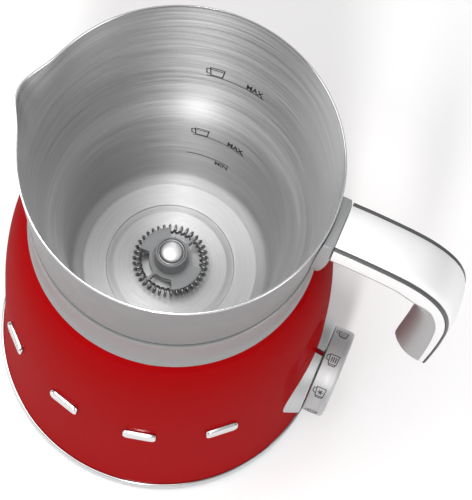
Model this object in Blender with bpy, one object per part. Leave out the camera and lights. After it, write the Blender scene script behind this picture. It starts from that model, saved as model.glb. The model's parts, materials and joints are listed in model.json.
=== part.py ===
"""Milk frothing pitcher: an induction base with a drop-in steel jug, a magnetic whisk and a side dial.

Metres, +Z up, table at z = 0, handle towards +X, spout towards -X. Every radius is taken from
the common axis of base and jug, which stands at x = AXIS_X so the origin is under the middle of the object.
"""

import math

import bmesh
import bpy
from mathutils import Vector

for old in list(bpy.data.objects):
    bpy.data.objects.remove(old, do_unlink=True)

MM = 0.001

# ---- driving dimensions, millimetres ----
AXIS_X = -17.775
GAP = 0.35                      # clearance between neighbouring pieces

RIM_Z = 218.0
RIM_R = 55.0
WALL = 0.8
WAIST_Z = 171.5                 # where the jug enters the collar
SHOULDER_TOP_Z = 163.0
SHOULDER_LOW_Z = 146.0
JUG_FLOOR_Z = 98.5
JUG_UNDER_Z = 97.5
SPOUT_REACH = 4.6
SPOUT_HALF_ANGLE = 15.0
SPOUT_DEPTH = 30.0

SHELL_OUTER = [(54.0, 146.2), (56.0, 143.2), (58.3, 138.0), (60.4, 130.0), (62.1, 120.0), (63.5, 108.0),
               (64.7, 95.0), (65.6, 78.0), (66.4, 60.0), (67.6, 40.0), (68.9, 22.0), (70.2, 9.8)]
SHELL_WALL = 2.0

RING_R = 71.0
RING_TOP_Z = 9.4
RING_LOW_Z = 1.6
FOOT_H = 2.0
FOOT_R = 7.0
FOOT_PITCH_R = 54.0
COVER_R = 67.0

DIAL_Z = 45.3                   # height of the dial axis
DIAL_R = 18.9
DIAL_BACK = 69.9                # radial stations of the dial along +X
DIAL_FRONT = 78.8
BUTTON_R = 8.0
BUTTON_BACK = 66.4
BEZEL_BACK = 58.0
BEZEL_FRONT = 69.4
BEZEL_FRONT_R = 20.8
BEZEL_SLOPE = 0.41
BEZEL_HOLE_R = 9.0
BEZEL_WALL = 1.9
CORD_Z = 18.0

POST_R = 4.4
POST_TOP_Z = 116.5
BUSH_IN_R = 4.7
BUSH_OUT_R = 5.1
HUB_IN_R = 5.4
WHISK_TOP_Z = 107.0             # top of the whisk's plate
WHISK_CORE_R = 10.9             # the plate's body, inside the coil
COIL_Z = 104.1
COIL_RING_R = 13.15
COIL_MINOR_R = 1.5
COIL_WIRE_R = 0.42
COIL_TURNS = 38
MAGNET_PITCH_R = 9.0
MAGNET_ANGLE = 149.0

HANDLE_HALF_W = 9.3
HANDLE_TOP_N = -1.25            # where the grip starts under the handle's skin line
HANDLE_BELLY_N = -14.2
# radius, height, and how deep the grip's flat sides run before its belly starts
HANDLE_PATH = [(58.7, 214.0, 10.2), (66.0, 213.6, 10.2), (74.0, 212.7, 10.2), (81.0, 211.5, 10.2),
               (87.5, 209.6, 10.2), (93.2, 206.3, 10.2), (98.0, 201.7, 9.2), (101.6, 195.6, 6.0),
               (104.0, 188.0, 5.0), (105.3, 179.0, 4.2), (105.6, 168.0, 3.7), (105.5, 157.0, 3.3),
               (105.2, 147.0, 3.0), (104.9, 139.0, 2.8)]
HANDLE_SCREW_R = 68.0

BADGE_COUNT = 4
BADGE_FIRST = 226.0             # degrees round the common axis
BADGE_PITCH = 28.5
BADGE_Z = 82.0
BADGE_LEN = 13.0
BADGE_H = 6.5
BADGE_CORNER = 1.9
BADGE_THICK = 1.3

SEG_LARGE = 36
SEG_MID = 28
SEG_SMALL = 14

# ---- materials ----
COLOURS = {
    "polished_steel": ((0.80, 0.81, 0.82), 1.0, 0.12),
    "brushed_steel": ((0.66, 0.67, 0.68), 1.0, 0.32),
    "chrome": ((0.86, 0.86, 0.87), 1.0, 0.06),
    "red_enamel": ((0.42, 0.006, 0.008), 0.0, 0.18),
    "grey_plastic": ((0.22, 0.22, 0.23), 0.0, 0.45),
    "dark_plastic": ((0.035, 0.035, 0.038), 0.0, 0.5),
    "light_plastic": ((0.50, 0.51, 0.52), 0.0, 0.4),
    "rubber": ((0.02, 0.02, 0.02), 0.0, 0.8),
    "copper": ((0.60, 0.27, 0.12), 1.0, 0.3),
    "ferrite": ((0.08, 0.08, 0.09), 0.3, 0.6),
    "board_green": ((0.02, 0.14, 0.06), 0.0, 0.5),
}


def dress(obj, kind):
    """Give the object its own Principled material."""
    colour, metallic, roughness = COLOURS[kind]
    mat = bpy.data.materials.new(obj.name + "_" + kind)
    mat.use_nodes = True
    shader = mat.node_tree.nodes["Principled BSDF"]
    shader.inputs["Base Color"].default_value = (*colour, 1.0)
    shader.inputs["Metallic"].default_value = metallic
    shader.inputs["Roughness"].default_value = roughness
    mat.diffuse_color = (*colour, 1.0)
    obj.data.materials.append(mat)


ROOT = bpy.data.objects.new("pitcher_root", None)
ROOT.location = (AXIS_X * MM, 0.0, 0.0)
bpy.context.scene.collection.objects.link(ROOT)


def add_object(name, bm, kind, origin=(0.0, 0.0, 0.0), smooth=30.0):
    """Turn a bmesh drawn in millimetres about the common axis into a placed object."""
    shift = Vector(origin)
    for v in bm.verts:
        v.co = (v.co - shift) * MM
    bmesh.ops.recalc_face_normals(bm, faces=bm.faces)
    mesh = bpy.data.meshes.new(name)
    limit = math.radians(smooth)
    for face in bm.faces:
        face.smooth = True
    for edge in bm.edges:
        edge.smooth = len(edge.link_faces) == 2 and edge.calc_face_angle(0.0) < limit
    bm.to_mesh(mesh)
    bm.free()
    obj = bpy.data.objects.new(name, mesh)
    obj.location = shift * MM
    obj.parent = ROOT
    bpy.context.scene.collection.objects.link(obj)
    if kind:
        dress(obj, kind)
    return obj


def lathe_mesh(profile, segments, centre=(0.0, 0.0, 0.0), axis="Z", bm=None):
    """Revolve a closed (radius, height) profile; points at radius 0 become poles."""
    bm = bm or bmesh.new()
    rings = []
    for radius, height in profile:
        if radius == 0.0:
            spots = [(0.0, 0.0, height)]
        else:
            spots = [(radius * math.cos(2 * math.pi * k / segments),
                      radius * math.sin(2 * math.pi * k / segments), height) for k in range(segments)]
        if axis == "X":
            spots = [(z, x, y) for x, y, z in spots]
        elif axis == "Y":
            spots = [(y, z, x) for x, y, z in spots]
        rings.append([bm.verts.new((x + centre[0], y + centre[1], z + centre[2])) for x, y, z in spots])
    for a, b in zip(rings, rings[1:] + rings[:1]):
        if len(a) == 1 and len(b) == 1:
            continue
        for k in range(segments):
            n = (k + 1) % segments
            if len(a) == 1:
                bm.faces.new((a[0], b[n], b[k]))
            elif len(b) == 1:
                bm.faces.new((a[k], a[n], b[0]))
            else:
                bm.faces.new((a[k], a[n], b[n], b[k]))
    return bm


def lathe(name, profile, kind, segments=SEG_MID, centre=(0.0, 0.0, 0.0), axis="Z", origin=None):
    bm = lathe_mesh(profile, segments, centre, axis)
    return add_object(name, bm, kind, origin if origin is not None else centre)


def box_mesh(lo, hi, bm=None, turn=0.0):
    """Axis-aligned box between two corners, optionally turned about the common axis."""
    bm = bm or bmesh.new()
    c, s = math.cos(math.radians(turn)), math.sin(math.radians(turn))
    corners = [(x, y, z) for x in (lo[0], hi[0]) for y in (lo[1], hi[1]) for z in (lo[2], hi[2])]
    v = [bm.verts.new((x * c - y * s, x * s + y * c, z)) for x, y, z in corners]
    for face in ((0, 1, 3, 2), (4, 6, 7, 5), (0, 4, 5, 1), (2, 3, 7, 6), (0, 2, 6, 4), (1, 5, 7, 3)):
        bm.faces.new([v[i] for i in face])
    return bm


def prism_mesh(outline, lo, hi, place, bm=None):
    """Extrude a 2-D outline between two levels; place(u, v, w) gives the 3-D point."""
    bm = bm or bmesh.new()
    low = [bm.verts.new(place(u, v, lo)) for u, v in outline]
    top = [bm.verts.new(place(u, v, hi)) for u, v in outline]
    bm.faces.new(low)
    bm.faces.new(top)
    for k in range(len(outline)):
        n = (k + 1) % len(outline)
        bm.faces.new((low[k], low[n], top[n], top[k]))
    return bm


def cut(target, name, bm):
    """Subtract a hidden cutter from a piece."""
    cutter = add_object(name, bm, None)
    cutter.hide_render = True
    cutter.display_type = "WIRE"
    mod = target.modifiers.new(name, "BOOLEAN")
    mod.operation = "DIFFERENCE"
    mod.solver = "EXACT"
    mod.object = cutter


def polar(radius, degrees, z=0.0):
    a = math.radians(degrees)
    return (radius * math.cos(a), radius * math.sin(a), z)


# ---- base: shell, collar, ring, well ----
shell_inner = [(r - SHELL_WALL, z) for r, z in reversed(SHELL_OUTER[1:])]
shell_lip = [(52.4, 144.6), (52.4, 145.9), (53.2, 146.4)]
outer_shell = lathe("outer_shell", SHELL_OUTER + shell_inner + shell_lip, "red_enamel", SEG_LARGE)

lathe("neck_collar", [
    (54.0, 147.0), (53.0, 150.5), (52.6, 156.0), (52.7, 163.0), (53.2, 170.2), (52.9, 170.8), (52.1, 170.8),
    (51.8, 170.3), (51.8, 163.2), (50.9, 160.0), (50.9, 140.0), (52.0, 140.0), (52.0, 146.8)],
    "polished_steel", SEG_LARGE)

lathe("base_ring", [
    (70.3, RING_TOP_Z), (RING_R - 0.1, RING_TOP_Z - 0.6), (RING_R, RING_TOP_Z - 1.4),
    (RING_R, RING_LOW_Z + 0.8), (RING_R - 0.8, RING_LOW_Z), (67.5, RING_LOW_Z), (67.5, RING_TOP_Z)],
    "chrome", SEG_LARGE)

well_liner = lathe("well_liner", [
    (50.5, 157.4), (49.8, 157.4), (49.1, 155.2), (45.0, 149.6), (43.4, 145.8), (43.0, 138.0), (42.2, 108.0),
    (42.2, 101.0), (39.4, 95.8), (0.0, 95.8), (0.0, 94.3), (40.4, 94.3), (43.7, 100.5), (43.7, 108.0),
    (44.5, 138.0), (44.9, 146.4), (46.2, 149.2), (50.5, 155.0)], "grey_plastic", SEG_MID)

# ---- base: underside ----
bottom_cover = lathe("bottom_cover", [(0.0, 2.4), (COVER_R - 0.5, 2.4), (COVER_R, 2.9), (COVER_R, 5.2),
                                      (0.0, 5.2)],
                     "dark_plastic", SEG_MID)
cover_cutter = bmesh.new()
for k in range(-3, 4):
    box_mesh((6.0 * k - 1.2, -22.0, 0.0), (6.0 * k + 1.2, 22.0, 8.0), cover_cutter)
SCREW_R = 60.0
SCREW_ANGLES = [0.0, 120.0, 240.0]
for angle in SCREW_ANGLES:
    lathe_mesh([(0.0, 0.0), (3.6, 0.0), (3.6, 3.9), (1.9, 3.9), (1.9, 8.0), (0.0, 8.0)], SEG_SMALL,
               polar(SCREW_R, angle), bm=cover_cutter)
cut(bottom_cover, "cover_openings", cover_cutter)

for k, angle in enumerate((45.0, 135.0, 225.0, 315.0)):
    lathe("foot_%d" % (k + 1), [(0.0, 0.0), (FOOT_R - 0.8, 0.0), (FOOT_R, 0.6), (FOOT_R, FOOT_H),
                                (0.0, FOOT_H)],
          "rubber", SEG_SMALL, polar(FOOT_PITCH_R, angle))

for k, angle in enumerate(SCREW_ANGLES):
    lathe("base_screw_%d" % (k + 1), [
        (0.0, 2.6), (2.6, 2.6), (3.2, 3.0), (3.2, 3.6), (1.5, 3.6), (1.5, 14.0), (0.0, 14.6)], "chrome", 16,
        polar(SCREW_R, angle))

# ---- base: works ----
chassis_bm = lathe_mesh([(0.0, 19.0), (58.0, 19.0), (58.0, 21.5), (0.0, 21.5)], SEG_MID)
chassis = add_object("chassis_frame", chassis_bm, "light_plastic")
chassis_cutter = bmesh.new()
for angle in (60.0, 180.0, 300.0):
    box_mesh((30.0, -14.0, 15.0), (50.0, 14.0, 25.0), chassis_cutter, angle)
cut(chassis, "chassis_openings", chassis_cutter)

for k, angle in enumerate(SCREW_ANGLES):
    lathe("screw_boss_%d" % (k + 1), [(1.9, 5.6), (4.4, 5.6), (4.4, 18.6), (1.9, 18.6)], "light_plastic",
          16,
          polar(SCREW_R, angle))

lathe("motor_housing", [(0.0, 36.0), (15.0, 36.0), (16.5, 37.5), (16.5, 66.5), (15.0, 68.0), (6.0, 68.0),
                        (6.0, 71.0), (2.0, 71.0), (2.0, 50.0), (0.0, 50.0)], "brushed_steel", 20)
lathe("motor_mount", [(9.0, 21.9), (18.5, 21.9), (18.5, 42.0), (17.0, 42.0), (17.0, 35.6), (9.0, 35.6)],
      "light_plastic", 20)
lathe("motor_shaft", [(0.0, 50.4), (1.6, 50.4), (1.6, 79.0), (0.0, 79.0)], "brushed_steel", 16)
lathe("drive_rotor", [(0.0, 79.4), (3.5, 79.4), (3.5, 82.0), (12.0, 82.0), (12.0, 85.0), (0.0, 85.0)],
      "grey_plastic", 20)
for name, turn in (("drive_magnet_a", MAGNET_ANGLE), ("drive_magnet_b", MAGNET_ANGLE + 180.0)):
    lathe(name, [(0.0, 85.4), (2.8, 85.4), (2.8, 88.4), (0.0, 88.4)], "ferrite", 16,
          polar(MAGNET_PITCH_R, turn))

COIL_IN_R = 14.4
COIL_PITCH = 5.8
COIL_BANDS = 3
COIL_OUT_R = COIL_IN_R + COIL_PITCH * COIL_BANDS
coil_profile = [(COIL_IN_R, 88.4)]
for k in range(COIL_BANDS):
    start = COIL_IN_R + COIL_PITCH * k
    end = start + COIL_PITCH
    coil_profile += [(start, 91.6), (start + 0.9, 92.4), (end - 0.9, 92.4), (end, 91.6)]
coil_profile += [(COIL_OUT_R, 88.4)]
lathe("induction_coil", coil_profile, "copper", SEG_MID)
lathe("coil_carrier", [
    (13.4, 85.2), (33.6, 85.2), (33.6, 91.0), (COIL_OUT_R + GAP, 91.0), (COIL_OUT_R + GAP, 88.0),
    (13.4, 88.0)],
    "ferrite", SEG_MID)
for k, angle in enumerate((30.0, 150.0, 270.0)):
    lathe("coil_post_%d" % (k + 1), [(0.0, 21.9), (3.0, 21.9), (3.0, 84.8), (0.0, 84.8)], "light_plastic",
          12,
          polar(28.0, angle))

add_object("control_board", box_mesh((-55.0, -17.0, 30.0), (-28.5, 17.0, 31.6)), "board_green")
lathe("board_capacitor", [(0.0, 32.0), (5.0, 32.0), (5.0, 46.0), (4.4, 46.6), (0.0, 46.6)], "dark_plastic",
      20,
      (-35.0, -9.0, 0.0))
add_object("board_relay", box_mesh((-50.0, 1.0, 32.0), (-36.0, 13.0, 42.0)), "dark_plastic")

# ---- base: temperature sensor under the jug ----
SENSOR_AT = (0.0, 36.2, 0.0)
SPRING_LOW_Z = 63.4
SPRING_TOP_Z = 80.0
sensor_hole = lathe_mesh([(0.0, 92.0), (2.3, 92.0), (2.3, 98.0), (0.0, 98.0)], SEG_SMALL, SENSOR_AT)
cut(well_liner, "sensor_hole", sensor_hole)
lathe("sensor_plunger", [(0.0, 80.4), (2.6, 80.4), (2.6, 81.4), (1.9, 81.4), (1.9, 96.6), (1.4, 97.1),
                         (0.0, 97.1)],
      "brushed_steel", SEG_SMALL, SENSOR_AT)
lathe("sensor_cup", [
    (0.0, 21.9), (3.0, 21.9), (3.0, 59.0), (4.4, 61.0), (4.4, 79.0), (3.4, 79.0), (3.4, 63.0), (0.0, 63.0)],
    "light_plastic", SEG_SMALL, SENSOR_AT)


def spring_mesh(turns=7, per_turn=7, sides=3, mean_r=2.4, wire_r=0.32):
    """An open helical spring with closed wire ends, standing on its low end."""
    bm = bmesh.new()
    count = turns * per_turn
    low, top = SPRING_LOW_Z + wire_r, SPRING_TOP_Z - wire_r
    rings = []
    for k in range(count + 1):
        a = 2 * math.pi * k / per_turn
        out = Vector((math.cos(a), math.sin(a), 0.0))
        centre = Vector(SENSOR_AT) + out * mean_r + Vector((0.0, 0.0, low + (top - low) * k / count))
        up = Vector((0.0, 0.0, 1.0))
        rings.append([bm.verts.new(centre + (out * math.cos(b) + up * math.sin(b)) * wire_r)
                      for b in (2 * math.pi * j / sides for j in range(sides))])
    for a, b in zip(rings, rings[1:]):
        for j in range(sides):
            n = (j + 1) % sides
            bm.faces.new((a[j], a[n], b[n], b[j]))
    bm.faces.new(rings[0])
    bm.faces.new(rings[-1])
    return bm


add_object("sensor_spring", spring_mesh(), "brushed_steel", (SENSOR_AT[0], SENSOR_AT[1], SPRING_LOW_Z),
           smooth=100.0)



# ---- base: dial on the +X side ----
def bezel_radius(station):
    return BEZEL_FRONT_R + BEZEL_SLOPE * (BEZEL_FRONT - station)


dial_centre = (0.0, 0.0, DIAL_Z)
shell_cutter = lathe_mesh([(0.0, 54.0), (bezel_radius(54.0) + GAP, 54.0), (bezel_radius(76.0) + GAP, 76.0),
                           (0.0, 76.0)],
                          SEG_MID, dial_centre, "X")
lathe_mesh([(0.0, 60.0), (4.6, 60.0), (4.6, 76.0), (0.0, 76.0)], SEG_SMALL, (0.0, 0.0, CORD_Z), "Y",
           shell_cutter)
cut(outer_shell, "shell_openings", shell_cutter)

dial_bezel = lathe("dial_bezel", [
    (bezel_radius(BEZEL_BACK), BEZEL_BACK), (bezel_radius(BEZEL_FRONT - 0.6), BEZEL_FRONT - 0.6),
    (BEZEL_FRONT_R - 0.5, BEZEL_FRONT), (BEZEL_HOLE_R, BEZEL_FRONT), (BEZEL_HOLE_R, BEZEL_FRONT - 1.6),
    (bezel_radius(BEZEL_FRONT - 1.6) - BEZEL_WALL, BEZEL_FRONT - 1.6),
    (bezel_radius(BEZEL_BACK) - BEZEL_WALL, BEZEL_BACK)],
    "brushed_steel", SEG_MID, dial_centre, "X")
cut(dial_bezel, "pointer_slot", box_mesh((61.0, -1.3, DIAL_Z + 15.0), (76.0, 1.3, DIAL_Z + 30.0)))
slot_low = DIAL_Z + BEZEL_FRONT_R - 1.2
pointer_outline = [(62.0, slot_low), (BEZEL_FRONT - 0.4, slot_low), (BEZEL_FRONT - 0.4, slot_low + 0.6),
                   (62.0, slot_low + 3.2)]
add_object("dial_pointer", prism_mesh(pointer_outline, -1.0, 1.0, lambda u, v, w: (u, w, v)), "red_enamel")

lathe("control_dial", [
    (DIAL_R - 0.7, DIAL_BACK), (DIAL_R, DIAL_BACK + 0.7), (DIAL_R, DIAL_FRONT - 1.7),
    (DIAL_R - 0.5, DIAL_FRONT - 0.6), (DIAL_R - 1.7, DIAL_FRONT), (10.2, DIAL_FRONT - 0.4),
    (BUTTON_R + 0.7, DIAL_FRONT - 1.2), (BUTTON_R + 0.7, DIAL_BACK)],
    "brushed_steel", SEG_LARGE, dial_centre, "X", (DIAL_FRONT, 0.0, DIAL_Z))
lathe("start_button", [
    (0.0, BUTTON_BACK), (7.2, BUTTON_BACK), (7.2, BUTTON_BACK + 1.0), (BUTTON_R, BUTTON_BACK + 1.0),
    (BUTTON_R, DIAL_FRONT - 0.8), (7.0, DIAL_FRONT - 0.2), (0.0, DIAL_FRONT - 0.6)],
    "light_plastic", SEG_SMALL, dial_centre, "X")
lathe("dial_encoder", [(0.0, 54.0), (13.0, 54.0), (13.0, 64.4), (0.0, 64.4)], "dark_plastic", SEG_SMALL,
      dial_centre, "X")

# ---- base: cord entry and badges ----
lathe("cord_gland", [
    (2.4, 70.9), (5.0, 70.9), (5.6, 70.6), (5.6, 70.3), (4.2, 70.2), (4.2, 64.0), (2.4, 64.0)],
    "rubber", SEG_SMALL, (0.0, 0.0, CORD_Z), "Y")


def shell_radius(z):
    for (r0, z0), (r1, z1) in zip(SHELL_OUTER, SHELL_OUTER[1:]):
        if z1 <= z <= z0:
            return r0 + (r1 - r0) * (z0 - z) / (z0 - z1)
    return SHELL_OUTER[-1][0]


def badge_mesh(degrees):
    """A plain bar with rounded corners, bent to the shell and standing a little proud of it."""
    half_len = BADGE_LEN / 2 - BADGE_CORNER
    half_h = BADGE_H / 2 - BADGE_CORNER
    outline = []
    for corner, (side, up) in enumerate(((1, -1), (1, 1), (-1, 1), (-1, -1))):
        for step in range(4):
            a = math.radians(90.0 * corner - 90.0 + 30.0 * step)
            outline.append((side * half_len + BADGE_CORNER * math.cos(a),
                            up * half_h + BADGE_CORNER * math.sin(a)))

    def place(u, v, w):
        radius = shell_radius(BADGE_Z + v)
        return polar(radius + w, degrees + math.degrees(u / radius), BADGE_Z + v)

    return prism_mesh(outline, GAP, GAP + BADGE_THICK, place)


for k in range(BADGE_COUNT):
    add_object("badge_%d" % (k + 1), badge_mesh(BADGE_FIRST + BADGE_PITCH * k), "chrome")

# ---- jug ----
JUG_OUTER = [(RIM_R, RIM_Z - 0.5), (54.6, 210.0), (53.9, 196.0), (53.1, 183.0), (52.5, WAIST_Z),
             (51.45, 170.4), (51.2, SHOULDER_TOP_Z), (48.6, 155.5), (44.4, 150.0), (42.6, SHOULDER_LOW_Z),
             (42.1, 138.0), (41.0, 108.0), (40.2, 101.5), (37.5, JUG_UNDER_Z)]
JUG_INNER = [(35.6, JUG_FLOOR_Z), (38.4, 99.6), (39.6, 102.4), (40.2, 108.0), (41.2, 138.0), (41.7, 146.6),
             (43.9, 150.9), (48.0, 156.2), (50.3, 163.2), (50.6, 170.6), (51.7, 171.9), (52.3, 183.0),
             (53.1, 196.0), (53.8, 210.0), (RIM_R - WALL, RIM_Z - 0.5), (RIM_R - 0.4, RIM_Z)]
GROOVE = [(0.0, JUG_FLOOR_Z), (22.6, JUG_FLOOR_Z), (23.2, JUG_FLOOR_Z - 0.5), (24.4, JUG_FLOOR_Z - 0.5),
          (25.0, JUG_FLOOR_Z)]
jug_bm = lathe_mesh(JUG_OUTER + [(0.0, JUG_UNDER_Z)] + GROOVE + JUG_INNER, 48)
for v in jug_bm.verts:
    low = RIM_Z - SPOUT_DEPTH
    if v.co.z > low and v.co.x < 0.0:
        off = 180.0 - abs(math.degrees(math.atan2(v.co.y, v.co.x)))
        fall = math.exp(-((off / SPOUT_HALF_ANGLE) ** 2) * 2.2)
        pull = SPOUT_REACH * fall * ((v.co.z - low) / SPOUT_DEPTH) ** 1.7
        radial = Vector((v.co.x, v.co.y, 0.0)).normalized()
        v.co += radial * pull
add_object("jug_vessel", jug_bm, "brushed_steel")

lathe("whisk_post", [
    (0.0, JUG_FLOOR_Z + GAP), (POST_R + 1.2, JUG_FLOOR_Z + GAP), (POST_R + 1.2, 99.6), (POST_R, 99.6),
    (POST_R, POST_TOP_Z - 1.6), (POST_R - 0.6, POST_TOP_Z - 0.5), (POST_R - 1.8, POST_TOP_Z),
    (0.0, POST_TOP_Z)],
    "chrome", SEG_SMALL)
lathe("whisk_bush", [(BUSH_IN_R, 100.2), (BUSH_OUT_R, 100.2), (BUSH_OUT_R, 115.0), (BUSH_IN_R, 115.0)],
      "light_plastic", SEG_SMALL)

whisk_low = COIL_Z - 1.1
flange_low = COIL_Z + COIL_MINOR_R + COIL_WIRE_R + GAP
flange_r = COIL_RING_R - GAP
whisk = lathe("whisk_carrier", [
    (HUB_IN_R, whisk_low), (WHISK_CORE_R - 0.2, whisk_low), (WHISK_CORE_R, whisk_low + 0.3),
    (WHISK_CORE_R, flange_low), (flange_r - 0.2, flange_low), (flange_r, flange_low + 0.3),
    (flange_r - 0.4, WHISK_TOP_Z), (7.3, WHISK_TOP_Z), (6.7, WHISK_TOP_Z + 0.5), (6.0, 115.0), (HUB_IN_R, 115.4)],
    "light_plastic", SEG_MID)
WINDOW_IN_R = 8.4
WINDOW_OUT_R = 14.0
windows = bmesh.new()
for low, high in ((4.0, 63.0), (68.0, 114.0)):
    sweep_angles = [low + (high - low) * k / 4 for k in range(5)]
    for turn in (0.0, 180.0):
        outline = [polar(WINDOW_IN_R, a + turn)[:2] for a in sweep_angles]
        outline += [polar(WINDOW_OUT_R, a + turn)[:2] for a in reversed(sweep_angles)]
        prism_mesh(outline, 98.0, 110.0, lambda u, v, w: (u, v, w), windows)
cut(whisk, "whisk_windows", windows)
for name, turn in (("whisk_magnet_a", MAGNET_ANGLE), ("whisk_magnet_b", MAGNET_ANGLE + 180.0)):
    lathe(name, [(0.0, 100.4), (1.9, 100.4), (1.9, whisk_low - GAP), (0.0, whisk_low - GAP)], "ferrite", 12,
          polar(MAGNET_PITCH_R, turn))


def frothing_coil_mesh(per_turn=5, sides=3):
    """A closed wire coiled around the rim of the whisk."""
    bm = bmesh.new()
    count = COIL_TURNS * per_turn
    rings = []
    for k in range(count):
        swing = 2 * math.pi * k / per_turn
        turn = 2 * math.pi * k / count
        out = Vector((math.cos(turn), math.sin(turn), 0.0))
        along = Vector((-math.sin(turn), math.cos(turn), 0.0))
        spoke = out * math.cos(swing) + Vector((0.0, 0.0, math.sin(swing)))
        centre = out * COIL_RING_R + spoke * COIL_MINOR_R + Vector((0.0, 0.0, COIL_Z))
        run = (-out * math.sin(swing) + Vector((0.0, 0.0, math.cos(swing)))) * COIL_MINOR_R * COIL_TURNS
        run = (run + along * COIL_RING_R).normalized()
        side = run.cross(spoke).normalized()
        ring = []
        for j in range(sides):
            a = 2 * math.pi * j / sides
            ring.append(bm.verts.new(centre + (spoke * math.cos(a) + side * math.sin(a)) * COIL_WIRE_R))
        rings.append(ring)
    for a, b in zip(rings, rings[1:] + rings[:1]):
        for j in range(sides):
            n = (j + 1) % sides
            bm.faces.new((a[j], a[n], b[n], b[j]))
    return bm


add_object("frothing_coil", frothing_coil_mesh(), "brushed_steel", smooth=100.0)

# ---- handle ----
END_TAPER = [(3.0, 0.99), (5.6, 0.92), (7.4, 0.78), (8.4, 0.60)]


def sweep(name, section_at, kind, taper):
    """Sweep a closed (across, outwards) section along the handle; taper narrows the free end."""
    points = [Vector((r, 0.0, z)) for r, z, _ in HANDLE_PATH]
    depths = [depth for _, _, depth in HANDLE_PATH]
    tangents = [b - a for a, b in zip([points[0]] + points, points[1:] + [points[-1]])]
    tangents[0] = Vector((1.0, 0.0, 0.0))
    scales = [1.0] * len(points)
    run = (points[-1] - points[-2]).normalized()
    end = points[-1]
    for ahead, scale in taper:
        points.append(end + run * ahead)
        depths.append(depths[-1])
        tangents.append(run)
        scales.append(scale)
    bm = bmesh.new()
    rings = []
    for spot, depth, tangent, scale in zip(points, depths, tangents, scales):
        t = tangent.normalized()
        outward = Vector((-t.z, 0.0, t.x))
        rings.append([bm.verts.new(spot + Vector((0.0, across * scale, 0.0)) + outward * out)
                      for across, out in section_at(depth)])
    for a, b in zip(rings, rings[1:]):
        for j in range(len(a)):
            n = (j + 1) % len(a)
            bm.faces.new((a[j], a[n], b[n], b[j]))
    bm.faces.new(rings[0])
    bm.faces.new(rings[-1])
    return add_object(name, bm, kind)


def cover_section(_):
    half = [(7.4, -1.3), (7.4, -0.1), (6.6, 0.35), (3.5, 0.8)]
    return half + [(0.0, 0.95)] + [(-across, out) for across, out in reversed(half)]


def tray_section(_):
    side = HANDLE_HALF_W
    half = [(8.4, -2.4), (8.4, -0.95), (side, -0.95), (side, -0.35), (9.0, -0.15), (7.7, -0.15),
            (7.7, -1.6)]
    return half + [(-across, out) for across, out in reversed(half)]


def grip_section(depth):
    """Flat sides down to the given depth, then a belly that is squarer where the sides are deep."""
    side = HANDLE_HALF_W
    squareness = 1.0 - 0.05 * (depth - 3.0)
    half = [(8.7, -2.7), (8.7, HANDLE_TOP_N), (side, HANDLE_TOP_N), (side, -depth)]
    for degrees in (22.5, 45.0, 67.5):
        a = math.radians(degrees)
        half.append((side * math.cos(a) ** squareness,
                     -depth + (HANDLE_BELLY_N + depth) * math.sin(a) ** squareness))
    return half + [(0.0, HANDLE_BELLY_N)] + [(-across, out) for across, out in reversed(half)]


sweep("handle_cover", cover_section, "polished_steel", [(2.4, 0.97), (4.6, 0.88), (6.2, 0.70), (7.0, 0.50)])
sweep("handle_inlay", tray_section, "dark_plastic", END_TAPER)
handle_grip = sweep("handle_grip", grip_section, "polished_steel", END_TAPER)
grip_hole = lathe_mesh([(0.0, 195.0), (3.0, 195.0), (3.0, 203.5), (1.5, 203.5), (1.5, 208.0), (0.0, 208.0)],
                       16, (HANDLE_SCREW_R, 0.0, 0.0))
cut(handle_grip, "grip_screw_hole", grip_hole)
lathe("handle_screw", [
    (0.0, 201.2), (2.2, 201.2), (2.6, 201.7), (2.6, 203.1), (1.15, 203.1), (1.15, 207.5), (0.0, 207.5)],
    "chrome", 16, (HANDLE_SCREW_R, 0.0, 0.0))

bracket_outline = [(50.0, 214.6), (58.3, 214.6), (58.3, 200.0), (57.4, 190.0), (55.0, 181.0), (50.0, 181.0)]
bracket_bm = prism_mesh(bracket_outline, -9.8, 9.8, lambda u, v, w: (u, w, v))
handle_bracket = add_object("handle_bracket", bracket_bm, "light_plastic")
jug_clear = [(RIM_R + GAP, RIM_Z + 4.0), (RIM_R + GAP, RIM_Z - 0.5)]
jug_clear += [(r + GAP, z) for r, z in JUG_OUTER[1:5]] + [(0.0, WAIST_Z), (0.0, RIM_Z + 4.0)]
cut(handle_bracket, "bracket_seat", lathe_mesh(jug_clear, 48))
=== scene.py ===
# Looks of a milk frothing pitcher (an electric frother: jug, whisk and powered base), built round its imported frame.
# Outlines are in millimetres from the common axis of base and jug; make_piece() puts them in place in metres.
# X points to the handle and the dial, -X to the spout, -Y to the front.

import json
import math

import bmesh
import bpy
from mathutils import Matrix, Vector


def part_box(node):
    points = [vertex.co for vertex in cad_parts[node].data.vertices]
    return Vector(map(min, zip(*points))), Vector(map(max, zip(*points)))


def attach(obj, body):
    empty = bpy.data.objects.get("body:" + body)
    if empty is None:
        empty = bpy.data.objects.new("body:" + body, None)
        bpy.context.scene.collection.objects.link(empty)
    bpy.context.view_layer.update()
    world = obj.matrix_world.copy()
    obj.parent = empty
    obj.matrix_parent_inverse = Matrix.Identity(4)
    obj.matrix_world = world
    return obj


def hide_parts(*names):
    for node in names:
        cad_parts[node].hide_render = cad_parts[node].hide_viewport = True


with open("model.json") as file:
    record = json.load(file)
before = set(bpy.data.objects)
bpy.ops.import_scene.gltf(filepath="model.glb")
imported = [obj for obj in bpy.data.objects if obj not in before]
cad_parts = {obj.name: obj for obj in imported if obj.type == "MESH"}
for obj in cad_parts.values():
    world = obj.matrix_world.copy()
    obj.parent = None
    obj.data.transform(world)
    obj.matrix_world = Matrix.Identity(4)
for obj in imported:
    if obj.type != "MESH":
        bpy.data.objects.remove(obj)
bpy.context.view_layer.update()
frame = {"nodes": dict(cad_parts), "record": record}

MM = 0.001
TAU = 2 * math.pi


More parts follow.
